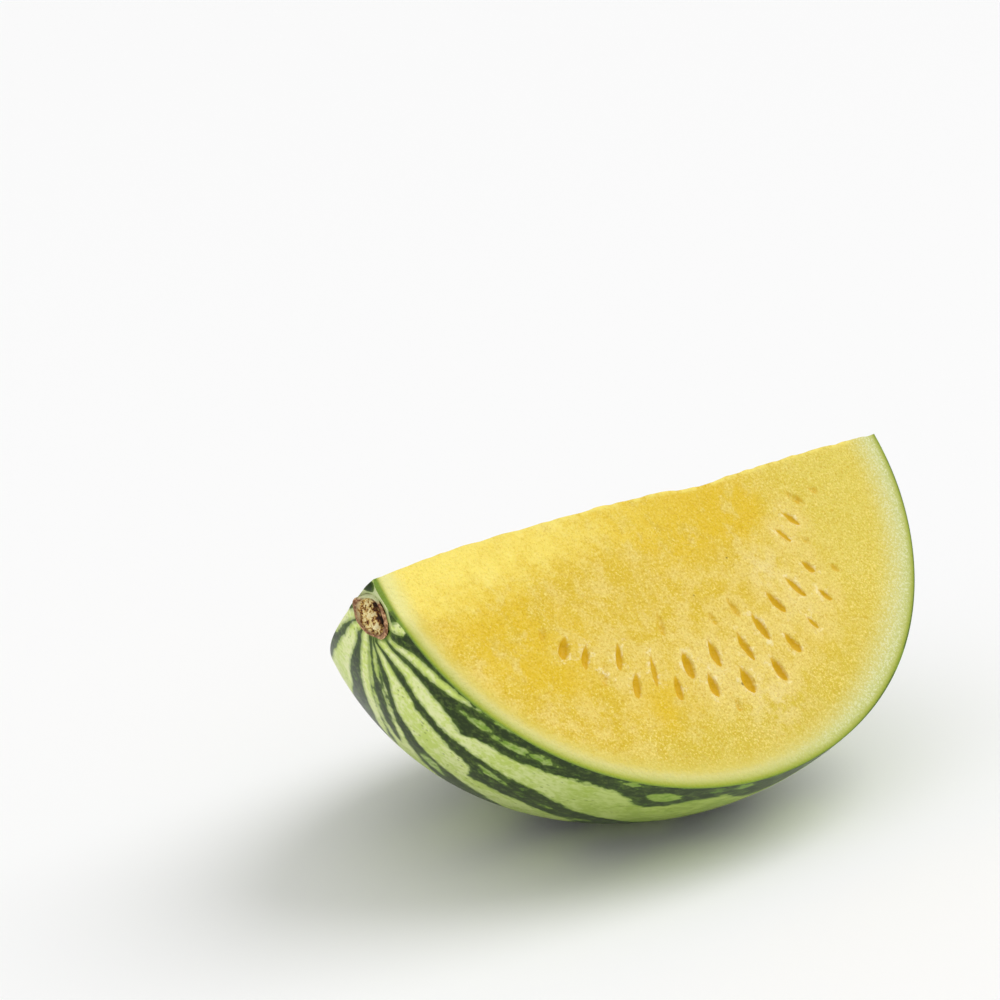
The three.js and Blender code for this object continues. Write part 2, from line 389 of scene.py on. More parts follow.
# relief of the cut flesh, and where its tints lie, in mm. Crumbs and spots are rows of station,
# drop, size and height on the near cut.
flesh = {
    "grain": 0.07,
    "grainSize": 1.1,
    "waves": 0.12,
    "waveSize": 9.0,
    "quietAtRim": (0.3, 2.5),
    "ridgeRound": 0.35,
    "ridgeRagged": [(0.5, 11.0), (0.3, 3.0)],      # height and length of its bumps
    "ridgeStretch": (1.0, 0.2, 0.2),
    "ridgeSpread": 1.8,
    "crumbs": [
        (-5.6, 59.2, 0.8, 0.5), (-49.6, 40.6, 1.1, 0.6), (-48.3, 42.4, 1.0, 0.5), (-47.0, 44.6, 0.8, 0.4),
        (-12.0, 66.0, 0.8, 0.3), (-8.2, 64.3, 0.8, 0.3), (-17.5, 60.5, 0.8, 0.3),
    ],
    "spots": {
        "speck": [(-3.2, 31.1, 0.45, 1.0), (16.7, 24.5, 0.5, 1.0), (-4.6, 60.8, 0.7, 1.0),
                  (66.5, 15.2, 0.6, 1.0)],
        "crystal": [(-45.0, 64.0, 7.0, 1.0), (-10.0, 69.0, 12.0, 1.0), (26.0, 68.0, 8.0, 1.0),
                    (70.0, 50.0, 10.0, 1.0)],
        "gold": [(-78.0, 18.0, 18.0, 1.0), (-60.0, 32.0, 14.0, 1.0), (-34.0, 54.0, 11.0, 1.0),
                 (3.0, 8.0, 16.0, 1.0), (30.0, 12.0, 10.0, 1.0)],
        "cream": [(4.0, 67.0, 12.0, 1.0), (34.0, 45.0, 6.5, 1.0), (28.0, 33.0, 8.0, 1.0),
                  (-13.0, 53.0, 8.0, 1.0)],
    },
    "crumbTint": (0.1, 0.4),
    "seedZone": (11.0, 3.0),
    "ridgeTint": (26.0, 6.0),
    # painted highlight: paler flesh within about 2 mm of the ridge
    "ridgeHighlightTint": (1.9, 0.3),
    "deepest": 40.0,
}


# the rows' round mounds, added up
def mounds(rows, station, drop):
    total = np.zeros_like(station)
    for middle, low, size, height in rows:
        total += height * np.exp(-((station - middle) ** 2 + (drop - low) ** 2) / size ** 2)
    return total


def shapeCuts(wedge):
    places = vertexPlaces(wedge)
    station = places[:, 0]
    nearDropHere = places @ nearDown
    farDropHere = places @ farDown
    fromRidge = places - nearCutPoint(station, ridgeDrop(station))
    onNear = np.abs(places @ nearOut - cuts["pastAxis"]) < cuts["nearTouch"]
    onFar = (np.abs(fromRidge @ farOut) < cuts["farTouch"]) & (fromRidge @ farDown > -cuts["ridgeTouch"])
    onlyFar = onFar & ~onNear
    onCut = onNear | onFar
    under = depthUnderSkin(places)
    calm = smooth(*flesh["quietAtRim"], under)

    farRows = farHollows()
    uneven = station + hollows["unevenness"] * lumps(places, hollows["unevenSize"], 15)
    depth, fullness = hollows["depthToWidth"], hollows["fullness"]
    faintDepth, faintFullness = hollows["faintDepth"], hollows["faintFullness"]
    nearSink, nearIn = sinkInto(hollows["near"], uneven, nearDropHere, depth, fullness)
    faintSink, faintIn = sinkInto(hollows["nearFaint"], uneven, nearDropHere, faintDepth, faintFullness)
    farSink, farIn = sinkInto(farRows, uneven, farDropHere, depth, fullness)

    crumbs = mounds(flesh["crumbs"], station, nearDropHere)
    relief = flesh["grain"] * lumps(places, flesh["grainSize"], 5)
    relief += flesh["waves"] * lumps(places, flesh["waveSize"], 7)
    down = fromRidge @ nearDown * onNear + fromRidge @ farDown * onlyFar
    nearRidge = np.exp(-(np.maximum(down, 0.0) / flesh["ridgeSpread"]) ** 2)
    alongRidge = places * np.array(flesh["ridgeStretch"])
    ragged = sum(height * lumps(alongRidge, size, 11) for height, size in flesh["ridgeRagged"])
    moved = places + np.outer((relief + crumbs - np.maximum(nearSink, faintSink)) * calm * onNear, nearOut)
    moved += np.outer((relief - farSink) * calm * onlyFar, farOut)
    moved += np.outer((ragged - flesh["ridgeRound"]) * nearRidge * calm * onCut, ridgeOut)
    moveVertices(wedge, moved)

    nearGap = nearestMiddle(hollows["near"], station, nearDropHere)
    farGap = nearestMiddle(farRows, station, farDropHere)
    giveField(wedge, "cut", onCut)
    giveField(wedge, "under", np.clip(under, 0.0, flesh["deepest"]))
    giveField(wedge, "hollow", np.where(onNear, nearIn, np.where(onFar, farIn, -1.0)))
    giveField(wedge, "faint", np.maximum(faintIn, 0.0) * onNear)
    giveField(wedge, "crumb", smooth(*flesh["crumbTint"], crumbs) * onNear)
    giveField(wedge, "seedZone", smooth(*flesh["seedZone"], np.where(onNear, nearGap, farGap)))
    giveField(wedge, "ridge", smooth(*flesh["ridgeTint"], down) * onCut)
    # where the painted highlight along the ridge lies
    giveField(wedge, "crest", smooth(*flesh["ridgeHighlightTint"], down) * onCut)
    for name, rows in flesh["spots"].items():
        giveField(wedge, name, np.clip(mounds(rows, station, nearDropHere), 0.0, 1.0) * onNear)


# dark bands of the rind: mm along the rind from the stem end's tip against the degrees round
# the axis where a band starts and ends, and how far along it runs. 0 is the underside, near
# side minus. Only an edge's main bends are set here, and its teeth come from the material.
bands = [
    {"starts": [(6, -68), (12, -76), (14, -95)],
     "ends": [(6, -66), (9, -56), (17, -63), (30, -59), (50, -56)],
     "until": 50},
    {"starts": [(8, -45), (16, -51), (32, -53), (42, -57), (50, -75)],
     "ends": [(8, -38), (18, -46), (30, -43), (42, -37), (45, -41), (60, -44), (85, -47), (103, -40),
              (114, -44)],
     "until": 306},
    {"starts": [(8, -14), (12, -26), (19, -32), (24, -30), (36, -29), (50, -32), (75, -33), (112, -27),
                (142, -32)],
     "ends": [(8, -4), (10, -14), (15, -21), (26, -25), (29, -22), (33, -24), (53, -24), (58, -18),
              (75, -23), (92, -23), (108, -14), (136, -20)],
     "until": 306},
    {"starts": [(8, -3), (14, -7), (18, -10), (30, -5), (45, -6), (67, -11), (96, -7), (112, -8)],
     "ends": [(8, 2), (15, -2), (23, -3), (34, 0), (50, 2), (82, 4), (98, 0), (115, 4)],
     "until": 306},
    {"starts": [(8, 4), (12, 6), (18, 6), (23, 2), (40, 4), (50, 8)],
     "ends": [(8, 12), (14, 10), (40, 10), (50, 8)],
     "until": 50},
    {"starts": [(40, 13), (46, 12), (60, 15)], "ends": [(40, 13), (46, 14), (54, 16), (60, 15)], "until": 60},
    {"starts": [(8, 35), (12, 29), (20, 25), (36, 20), (75, 18), (120, 20)],
     "ends": [(8, 40), (10, 43), (14, 36), (25, 35), (37, 32), (58, 36), (120, 34)],
     "until": 306},
    {"starts": [(9, 61), (18, 53), (30, 50)], "ends": [(9, 64), (14, 62), (22, 57), (30, 60)], "until": 306},
]
bandWander = {"from": 100.0, "full": 140.0, "reach": 2.4, "length": 46.0, "turnPerEdge": 2.4}
# spots, dark or light: mm along the rind, degrees round, half length and half width in mm
darkSpots = [
    (8.4, 174, 1.7, 2.6), (8.8, -106, 1.4, 2.6), (22, 0, 6.5, 0.45), (10.5, 92, 3.0, 1.4),
    (11, 130, 3.0, 1.2),
]
lightSpots = [
    (9, -160, 1.5, 1.3), (9, -127, 1.8, 1.7), (10, -88, 2.0, 1.4),
    (41, -49, 5.0, 1.2), (53, -48, 6.0, 1.2), (62, -49, 3.6, 0.9), (93, -50, 3.6, 0.7),
    (104, -46, 5.4, 2.3), (44, -55, 5.0, 0.5), (130, -49, 5.0, 1.6), (60, -28, 6.0, 0.9),
    (68, -28, 2.4, 0.8), (78, -27, 3.6, 1.2), (97, -24, 4.0, 1.6), (17, 1, 5.0, 0.35), (39, 3, 4.0, 0.7),
    (57, -3, 6.5, 2.4), (150, -25, 5.0, 2.2), (178, -24, 3.0, 1.4), (100, 28, 4.0, 2.0), (128, 26, 3.0, 1.6),
    (160, 28, 5.0, 2.2), (120, -1, 3.0, 1.4), (165, -1, 4.0, 2.0), (205, -24, 4.0, 1.8), (215, 29, 3.5, 1.6),
    (172, -48, 4.0, 1.6), (214, -50, 5.0, 2.0), (75, 27, 4.0, 1.6), (190, 30, 3.5, 1.4),
]
fruitRoll = 4.9           # degrees from the bands' own zero to the resting pose

# where the rind's other tints lie, in mm, and the collar's place round the tip in degrees
rindMarks = {
    "offBand": -30.0,         # what the band field says where no band is near
    "bandEnd": 0.5,
    "fieldReach": 12.0,
    "islandEdge": (-0.6, 0.2),
    "rimLine": 0.22,          # the dark line along the near cut's edge
    "rimLineFrom": 12.0,
    "rimLineTo": 46.0,
    "rimLineOver": 0.5,
    "stemEnd": (120.0, 15.0),
    "breadth": (5.0, 70.0),
    "corkEdge": 0.5,
    "corkSize": 1.5,
    "awayFromTip": 30.0,
    "collarAngle": 155.0,
    "collarSides": (-0.3, 0.7),
    "collar": (9.4, 7.6),
    "scarEdge": (7.3, 6.5),
    "scarEdgeLoss": 0.8,      # how much of the scar's green edge the collar hides
}


# degrees that a band's edge swings by, further along, where no bends are set
def edgeWander(arch, edge):
    swing = np.sin(2 * math.pi * arch / bandWander["length"] + bandWander["turnPerEdge"] * edge)
    return bandWander["reach"] * swing * smooth(bandWander["from"], bandWander["full"], arch)


def paintRind(wedge):
    places = vertexPlaces(wedge)
    arch = alongRind(places)
    radius = np.hypot(places[:, 1], places[:, 2])
    around = np.degrees(np.arctan2(places[:, 1], -places[:, 2])) - fruitRoll
    toMm = radius * math.pi / 180
    field = np.full(len(places), rindMarks["offBand"])
    for number, band in enumerate(bands):
        startAt, start = np.array(band["starts"], float).T
        endAt, end = np.array(band["ends"], float).T
        low = np.interp(arch, startAt, start) + edgeWander(arch, 2 * number)
        high = np.interp(arch, endAt, end) + edgeWander(arch, 2 * number + 1)
        inBand = np.minimum(around - low, high - around) * toMm
        inBand = np.where(arch > band["until"] + rindMarks["bandEnd"], rindMarks["offBand"], inBand)
        field = np.maximum(field, inBand)
    inside = np.zeros(len(places))
    for spots, sign in ((darkSpots, 1.0), (lightSpots, -1.0)):
        for at, angle, halfLong, halfWide in spots:
            aside = (around - angle + 180.0) % 360.0 - 180.0
            reach = np.hypot((arch - at) / halfLong, aside * toMm / halfWide)
            spot = (1 - reach) * halfWide
            if sign > 0:
                field = np.maximum(field, spot)
            else:
                inside = np.maximum(inside, smooth(*rindMarks["islandEdge"], spot) * (field > 0))
                field = np.minimum(field, -spot)
    rimGap = cuts["pastAxis"] - places @ nearOut
    byRim = (arch > rindMarks["rimLineFrom"]) & (arch < rindMarks["rimLineTo"])
    byRim &= rimGap > -rindMarks["rimLineOver"]
    field = np.maximum(field, np.where(byRim, rindMarks["rimLine"] - rimGap, rindMarks["offBand"]))
    corkReach = seat["blossomRadius"] + rindMarks["corkEdge"] * lumps(places, rindMarks["corkSize"], 41)
    tip = radius * seat["radius"] / seatReach(np.arctan2(places[:, 2], places[:, 1]))
    tip = np.where(places[:, 0] < 0, tip, rindMarks["awayFromTip"])
    upper = smooth(*rindMarks["collarSides"], np.cos(np.radians(around - rindMarks["collarAngle"])))
    edge = rindMarks["corkEdge"]
    giveField(wedge, "band", np.clip(field, -rindMarks["fieldReach"], rindMarks["fieldReach"]))
    giveField(wedge, "island", inside)
    giveField(wedge, "stemEnd", smooth(*rindMarks["stemEnd"], arch))
    giveField(wedge, "breadth", smooth(*rindMarks["breadth"], radius))
    giveField(wedge, "blossom", smooth(edge, -edge, radius - corkReach) * (places[:, 0] > 0))
    giveField(wedge, "collar", smooth(*rindMarks["collar"], tip) * upper)
    bared = 1 - rindMarks["scarEdgeLoss"] * upper
    giveField(wedge, "scarEdge", smooth(*rindMarks["scarEdge"], tip) * bared)


def makeWedge():
    whole = makeFruit()
    block = makeCutBlock()
    only(whole)
    cut = whole.modifiers.new("cut", "BOOLEAN")
    cut.operation = "INTERSECT"
    cut.solver = "MANIFOLD"
    cut.object = block
    bpy.ops.object.modifier_apply(modifier=cut.name)
    bpy.data.objects.remove(block, do_unlink=True)
    whole.name = "melon_quarter"
    whole.data.name = "melon_quarter"
    print("wedge cut", len(whole.data.vertices), "vertices")
    shapeCuts(whole)
    paintRind(whole)
    return whole


# the torn, corky stump: outline in mm as radius and height over the fruit's tip, from the
# middle of the torn face out over the rim and back in along the neck
scar = {
    "profile": [
        (0.0, 0.4), (1.6, 0.4), (3.4, 0.2), (4.6, -0.1), (5.0, 0.7), (5.3, 1.0), (5.65, 0.95), (6.05, 0.5),
        (5.9, 0.12), (5.2, 0.12), (5.0, -2.1), (4.2, -3.0), (0.0, -3.0)],
    "segments": 160,
    "rings": 170,
    "outerAbove": -0.6,   # the height that parts the face and rim from the neck
    "rim": (4.5, 5.1),
    "middle": (5.0, 4.2),
    "cork": 0.28,
    "corkSize": 1.1,
    "swell": 0.45,
    "swellSize": 3.4,
    "fibres": 1.0,
    "fibreWidth": 0.6,
    "fibreStretch": 2.4,
    "fibreLean": -62.0,   # degrees from the level
    "fibreRise": 0.3,
    "clumps": 0.6,
    "clumpSize": 1.7,
    "flapAngle": 30.0,
    "flapHeight": 0.7,
    "flapReach": 0.1,
    "shoulder": 0.5,
    "shoulderAngle": 20.0,
    "shoulderEase": (0.2, 0.9),
    "crevice": 3.0,
    "crevicePlace": 3.3,
    "creviceWidth": 0.9,
    "creviceTurn": 0.35,
    "creviceEase": (0.15, 0.9),
    "raggedRim": 0.045,
    "raggedSize": 0.35,
    "raggedFrom": 5.3,
    "tornReach": 4.9,
    "tornLoss": 2.0,      # how far the crevice draws the torn face back
    "tornEdge": 0.3,
    # painted shade on the rim's inner wall: it sets in at the first radius and is full at the second, in mm
    "wall": (5.8, 5.0),
}


def makeScar():
    bpy.ops.object.select_all(action="DESELECT")
    bpy.ops.mesh.primitive_uv_sphere_add(
        segments=scar["segments"], ring_count=scar["rings"], radius=1.0, rotation=(0.0, -math.pi / 2, 0.0))
    stub = bpy.context.object
    bpy.ops.object.transform_apply(location=False, rotation=True, scale=False)
    ball = vertexPlaces(stub)
    way = np.arccos(np.clip(-ball[:, 0], -1.0, 1.0)) / math.pi
    around = np.arctan2(ball[:, 2], ball[:, 1])
    radii, heights = np.array(scar["profile"], float).T
    lengths = np.concatenate([[0.0], np.cumsum(np.hypot(np.diff(radii), np.diff(heights)))])
    lengths /= lengths[-1]
    radius = np.interp(way, lengths, radii)
    height = np.interp(way, lengths, heights)
    reach = seatReach(around) / seat["radius"]
    aside, up = radius * reach * np.cos(around), radius * reach * np.sin(around)
    places = np.stack([-halfLength - height, aside, up], 1)
    outer = height > scar["outerAbove"]
    rim = smooth(*scar["rim"], radius) * outer
    middle = smooth(*scar["middle"], radius) * outer
    lean = math.radians(scar["fibreLean"])
    along = places[:, 1] * math.cos(lean) + places[:, 2] * math.sin(lean)
    across = -places[:, 1] * math.sin(lean) + places[:, 2] * math.cos(lean)
    level = np.zeros_like(across)
    strands = np.stack([level, along / scar["fibreStretch"], across], 1)
    ring = np.stack([level, np.cos(around), np.sin(around)], 1)
    nearSide = smooth(*scar["creviceEase"], -np.cos(around + scar["creviceTurn"]))
    crevice = np.exp(-((radius - scar["crevicePlace"]) / scar["creviceWidth"]) ** 2)
    shoulder = smooth(*scar["shoulderEase"], np.cos(around - math.radians(scar["shoulderAngle"])))
    flap = np.maximum(0.0, np.cos(around - math.radians(scar["flapAngle"])))

    bark = scar["cork"] * lumps(places, scar["corkSize"], 23)
    bark += scar["swell"] * lumps(places, scar["swellSize"], 25)
    fibres = lumps(strands, scar["fibreWidth"], 27) + scar["clumps"] * lumps(places, scar["clumpSize"], 29)
    raised = rim * (bark + scar["shoulder"] * shoulder + scar["flapHeight"] * flap ** 10)
    raised += middle * scar["fibres"] * (fibres + scar["fibreRise"])
    raised -= scar["crevice"] * nearSide * crevice * outer
    ragged = scar["flapReach"] * flap ** 14 + scar["raggedRim"] * lumps(ring, scar["raggedSize"], 31)
    places[:, 0] -= raised
    places[:, 1:] *= 1 + (ragged * (radius > scar["raggedFrom"]))[:, None]
    moveVertices(stub, places)
    fromTorn = radius - scar["tornReach"] + scar["tornLoss"] * nearSide
    onFace = way < 0.5
    giveField(stub, "torn", smooth(scar["tornEdge"], -scar["tornEdge"], fromTorn) * onFace)
    giveField(stub, "wall", smooth(*scar["wall"], radius) * onFace)
    giveField(stub, "height", height + raised)
    stub.name = "torn_stump"
    stub.data.name = "torn_stump"
    return stub


# one output of a shader node, with arithmetic written as sums
class Wire:
    def __init__(self, tree, socket=None):
        self.tree = tree
        self.socket = socket

    def node(self, kind, settings, values, output=0):
        made = self.tree.nodes.new(kind)
        for name, value in settings.items():
            if name == "stops":
                while len(made.color_ramp.elements) < len(value):
                    made.color_ramp.elements.new(0.5)
                for element, (place, colour) in zip(made.color_ramp.elements, value):
                    element.position = place
                    element.color = colour
            else:
                setattr(made, name, value)
        for name, value in values.items():
            if isinstance(value, Wire):
                self.tree.links.new(value.socket, made.inputs[name])
            else:
                made.inputs[name].default_value = value
        return Wire(self.tree, made.outputs[output])

    def sum(self, operation, *values):
        return self.node("ShaderNodeMath", {"operation": operation}, dict(enumerate(values)))

    def __add__(self, other):
        return self.sum("ADD", self, other)

    def __sub__(self, other):
        return self.sum("SUBTRACT", self, other)

    def __mul__(self, other):
        return self.sum("MULTIPLY", self, other)

    def __radd__(self, other):
        return self.sum("ADD", other, self)

    def __rsub__(self, other):
        return self.sum("SUBTRACT", other, self)

    def __rmul__(self, other):
        return self.sum("MULTIPLY", other, self)

    def field(self, name):
        return self.node("ShaderNodeAttribute", {"attribute_name": name}, {}, "Fac")

    # 0 below low, 1 above high, eased between
    def ease(self, low, high):
        return self.node("ShaderNodeMapRange", {"interpolation_type": "SMOOTHSTEP"},
                         {"Value": self, "From Min": low, "From Max": high})

    def tinted(self, first, second):
        return self.node("ShaderNodeMix", {"data_type": "RGBA"}, {0: self, 6: first, 7: second}, 2)

    def noise(self, size, detail=2.0, rough=0.5):
        settings = {"Vector": self, "Scale": 1 / size, "Detail": detail, "Roughness": rough}
        return self.node("ShaderNodeTexNoise", {}, settings)

    def cells(self, size):
        return self.node("ShaderNodeTexVoronoi", {}, {"Vector": self, "Scale": 1 / size}, "Distance")

    def stretched(self, scale):
        return self.node("ShaderNodeMapping", {}, {"Vector": self, "Scale": scale})


# a screen colour, 0 to 255, as light
def tone(red, green, blue):
    light = [(c / 255 / 12.92) if c <= 10 else ((c / 255 + 0.055) / 1.055) ** 2.4 for c in (red, green, blue)]
    return (*light, 1.0)


def newMaterial(name):
    material = bpy.data.materials.new(name)
    material.use_nodes = True
    material.node_tree.nodes.clear()
    return material, Wire(material.node_tree)


# the fruit's own coordinates in mm, stem end at -X
def fruitCoordinates(start):
    here = start.node("ShaderNodeTexCoord", {}, {}, "Object")
    return start.node("ShaderNodeMapping", {"vector_type": "TEXTURE"}, {
        "Vector": here, "Location": (restShift / 1000, 0.0, restLift / 1000),
        "Rotation": (0.0, -dip, 0.0), "Scale": (0.001, 0.001, 0.001)})


def finishMaterial(start, sockets):
    shader = start.node("ShaderNodeBsdfPrincipled", {}, sockets)
    end = start.tree.nodes.new("ShaderNodeOutputMaterial")
    start.tree.links.new(shader.socket, end.inputs["Surface"])


skin = {
    "dark": tone(44, 60, 24),
    "darkVeins": tone(92, 112, 50),
    "light": tone(146, 170, 62),
    "lightPatches": tone(173, 193, 90),
    "stemLight": tone(214, 232, 120),
    "stemLightPatches": tone(242, 248, 184),
    "blossomCork": tone(150, 128, 86),
    "freckles": tone(120, 142, 52),
    "mottle": tone(104, 140, 46),
    "island": tone(118, 156, 50),
    "greenEdge": tone(104, 136, 44),
    "collar": tone(206, 214, 160),
    "lobeSize": 7.0,
    "lobeReach": 2.2,
    "toothSize": 2.4,
    "toothReach": 1.3,
    "toothStretch": (0.45, 1.0, 1.0),
    "featherSize": 1.3,
    "featherReach": 2.4,
    "featherStretch": (0.28, 1.0, 1.0),
    "streakSize": 1.6,
    "streakStretch": (0.22, 1.0, 1.0),
    "patchSize": 10.0,
    "freckleSize": 1.7,
    "freckleStretch": (0.4, 1.0, 1.0),
    "veinSize": 1.7,
    "veinStretch": (0.35, 1.0, 1.0),
    "mottleSize": 3.2,
    "mottleStretch": (0.4, 1.0, 1.0),
    "fringe": (-1.3, -0.1),
    "bumpStrength": 0.35,
    "bumpDepth": 0.00012,     # m
    "gloss": 0.16,
    "edgeBlur": 0.2,
    "roughness": 0.36,
}


def skinMaterial():
    material, start = newMaterial("striped_rind")
    mm = fruitCoordinates(start)
    breadth = start.field("breadth")
    along = mm.stretched(skin["toothStretch"])
    field = start.field("band")
    field = field + breadth * (along.cells(skin["lobeSize"]) - 0.5) * skin["lobeReach"]
    field = field + (breadth * 0.7 + 0.3) * (along.cells(skin["toothSize"]) - 0.5) * skin["toothReach"]
    feather = mm.stretched(skin["featherStretch"]).noise(skin["featherSize"], 3.0, 0.6) - 0.5
    field = field + (breadth * 0.75 + 0.25) * feather * skin["featherReach"]
    dark = field.ease(-skin["edgeBlur"], skin["edgeBlur"])

    # the light ground, from the plain green to what lies over it
    streaks = mm.stretched(skin["streakStretch"]).noise(skin["streakSize"], 3.0, 0.6)
    patch = (mm.noise(skin["patchSize"], 3.0) * 0.45 + streaks * 0.55).ease(0.4, 0.6)
    plain = start.field("stemEnd").tinted(skin["light"], skin["stemLight"])
    bright = start.field("stemEnd").tinted(skin["lightPatches"], skin["stemLightPatches"])
    ground = patch.tinted(plain, bright)
    freckle = mm.stretched(skin["freckleStretch"]).cells(skin["freckleSize"]).ease(0.3, 0.14)
    ground = (freckle * mm.noise(6.0).ease(0.48, 0.62) * 0.6).tinted(ground, skin["freckles"])
    ground = (field.ease(*skin["fringe"]) * 0.55).tinted(ground, skin["greenEdge"])
    ground = (start.field("island") * (streaks.ease(0.36, 0.6) * -0.45 + 0.95)).tinted(ground, skin["island"])
    ground = (start.field("collar") * 0.85).tinted(ground, skin["collar"])

    # the dark bands
    veins = mm.stretched(skin["veinStretch"]).noise(skin["veinSize"], 4.0, 0.7).ease(0.46, 0.7) * 0.8
    stripe = veins.tinted(skin["dark"], skin["darkVeins"])
    mottle = mm.stretched(skin["mottleStretch"]).noise(skin["mottleSize"], 5.0, 0.7).ease(0.56, 0.66)
    stripe = (mottle * field.ease(0.6, 1.8) * 0.75).tinted(stripe, skin["mottle"])
    stripe = (field.ease(1.0, 0.2) * 0.35).tinted(stripe, skin["greenEdge"])

    colour = dark.tinted(ground, stripe)
    colour = (start.field("scarEdge") * 0.7).tinted(colour, skin["greenEdge"])
    colour = start.field("blossom").tinted(colour, skin["blossomCork"])
    rough = mm.noise(3.0, 2.0) * 0.12 + (skin["roughness"] - 0.06)
    relief = mm.noise(1.4, 3.0) + mm.noise(7.0)
    bump = start.node("ShaderNodeBump", {}, {
        "Strength": skin["bumpStrength"], "Distance": skin["bumpDepth"], "Height": relief})
    finishMaterial(start, {
        "Base Color": colour, "Roughness": rough, "Normal": bump, "Specular IOR Level": skin["gloss"]})
    return material


# colours of the cut flesh; the rim's run inwards from the skin, in mm
pulp = {
    "plain": tone(220, 188, 44),
    "pale": tone(234, 209, 112),
    "golden": tone(226, 190, 12),
    "lemon": tone(220, 203, 82),
    "low": tone(208, 192, 66),
    "glow": tone(252, 232, 112),
    "grain": tone(247, 226, 128),
    "deep": tone(204, 164, 26),
    "hollow": tone(216, 172, 16),
    # paler cream round the hollows, partly painted highlight
    "halo": tone(246, 229, 166),
    "frost": tone(232, 233, 188),
    "tip": tone(238, 232, 150),
    "speck": tone(122, 96, 24),
    "crumb": tone(250, 238, 184),
    "cream": tone(238, 218, 144),
    # painted highlight along the ridge
    "crest": tone(244, 224, 110),
    "blotchSize": 7.0,
    "goldSize": 9.0,
    "creamSize": 4.0,
    "glowSize": 5.0,
    "zoneSize": 5.0,
    "gritSize": 0.7,
    "crystalSize": 0.9,
    "crystalPatch": 4.0,
    "haloSize": 2.6,
    "ridgeHighlightSize": 2.5,
    "faintSize": 1.5,
    "hollowSize": 1.0,
    "crumbSize": 0.9,
    "rimDepth": 18.0,
    "rimWobble": 1.6,
    "rimWobbleSize": 2.6,
    "darkRim": tone(58, 80, 24),
    "stemRim": [(0.0, tone(112, 142, 40)), (0.5, tone(124, 148, 44)), (1.0, tone(156, 170, 46)),
                (1.5, tone(174, 181, 74)), (2.5, tone(200, 200, 112)), (4.0, tone(219, 211, 128)),
                (6.0, tone(221, 206, 100)), (18.0, tone(220, 190, 56))],
    "blossomRim": [(0.0, tone(104, 134, 32)), (0.5, tone(146, 160, 48)), (1.0, tone(170, 178, 72)),
                   (1.5, tone(182, 188, 92)), (2.5, tone(194, 198, 112)), (4.0, tone(204, 205, 126)),
                   (6.5, tone(212, 206, 120)), (18.0, tone(216, 202, 84))],
    "roughness": 0.34,
    "bumpStrength": 0.8,
    "bumpDepth": 0.0003,      # m
    "gloss": 0.18,
    "soaked": 0.15,           # share of the light that soaks in, and how far for each colour
    "soakReach": (1.0, 0.8, 0.3),
    "soakDepth": 0.0012,      # m
}


# the flesh itself: yellow blotches, gold, cream, the light stem end, the grain over them, the pale halo round
# the hollows with its painted highlight, and a painted highlight along the ridge
def fleshTint(start, mm, station, grit):
    ridge = start.field("ridge")
    hollow = start.field("hollow")
    level = start.node("ShaderNodeSeparateXYZ", {}, {"Vector": mm}, "Z")
    blotches = mm.noise(pulp["blotchSize"], 5.0, 0.65).ease(0.4, 0.62)
    flesh = (blotches * 0.8).tinted(pulp["plain"], pulp["pale"])
    flesh = (station.ease(15.0, 80.0) * 0.85).tinted(flesh, pulp["lemon"])
    flesh = (level.ease(-36.0, -56.0) * 0.6).tinted(flesh, pulp["low"])
    gold = ridge * station.ease(60.0, 10.0) * 0.7 + start.field("gold")
    gold = gold * mm.noise(pulp["goldSize"], 5.0, 0.65).ease(0.34, 0.56)
    flesh = (gold.ease(0.0, 0.9) * 0.9).tinted(flesh, pulp["golden"])
    cream = start.field("cream") * mm.noise(pulp["creamSize"], 4.0, 0.65).ease(0.36, 0.58)
    flesh = (cream * 0.8).tinted(flesh, pulp["cream"])
    glow = ridge + station.ease(-20.0, -95.0) * 0.5 + (mm.noise(pulp["glowSize"], 5.0, 0.65) - 0.5) * 1.6
    glow = glow.ease(0.3, 1.6) * station.ease(25.0, -45.0)
    flesh = (glow * 0.9).tinted(flesh, pulp["glow"])
    zone = start.field("seedZone") * (mm.noise(pulp["zoneSize"], 3.0).ease(0.35, 0.6) * 0.6 + 0.3)
    flesh = (zone * (1.0 - start.field("gold") * 0.7)).tinted(flesh, pulp["pale"])

    bright = grit.ease(0.5, 0.72) * (0.85 - gold.ease(0.0, 1.0) * 0.45)
    flesh = bright.tinted(flesh, pulp["grain"])
    flesh = (grit.ease(0.5, 0.28) * (0.7 - glow * 0.35)).tinted(flesh, pulp["deep"])
    patches = mm.noise(pulp["crystalPatch"], 3.0).ease(0.45, 0.65) * 0.5 + start.field("crystal")
    flesh = (mm.cells(pulp["crystalSize"]).ease(0.4, 0.1) * patches).tinted(flesh, pulp["grain"])
    # paler flesh round the hollows, partly painted highlight on their lips
    halo = hollow * 0.7 + (mm.noise(pulp["haloSize"], 4.0, 0.7) - 0.5) * 5.0 + 0.15
    flesh = (halo.ease(0.0, 0.9) * 0.9 * hollow.ease(-1.0, -0.7)).tinted(flesh, pulp["halo"])
    # painted highlight: paler flesh in broken strokes along the ridge
    crest = start.field("crest") * mm.noise(pulp["ridgeHighlightSize"], 3.0).ease(0.3, 0.6)
    return crest.tinted(flesh, pulp["crest"])


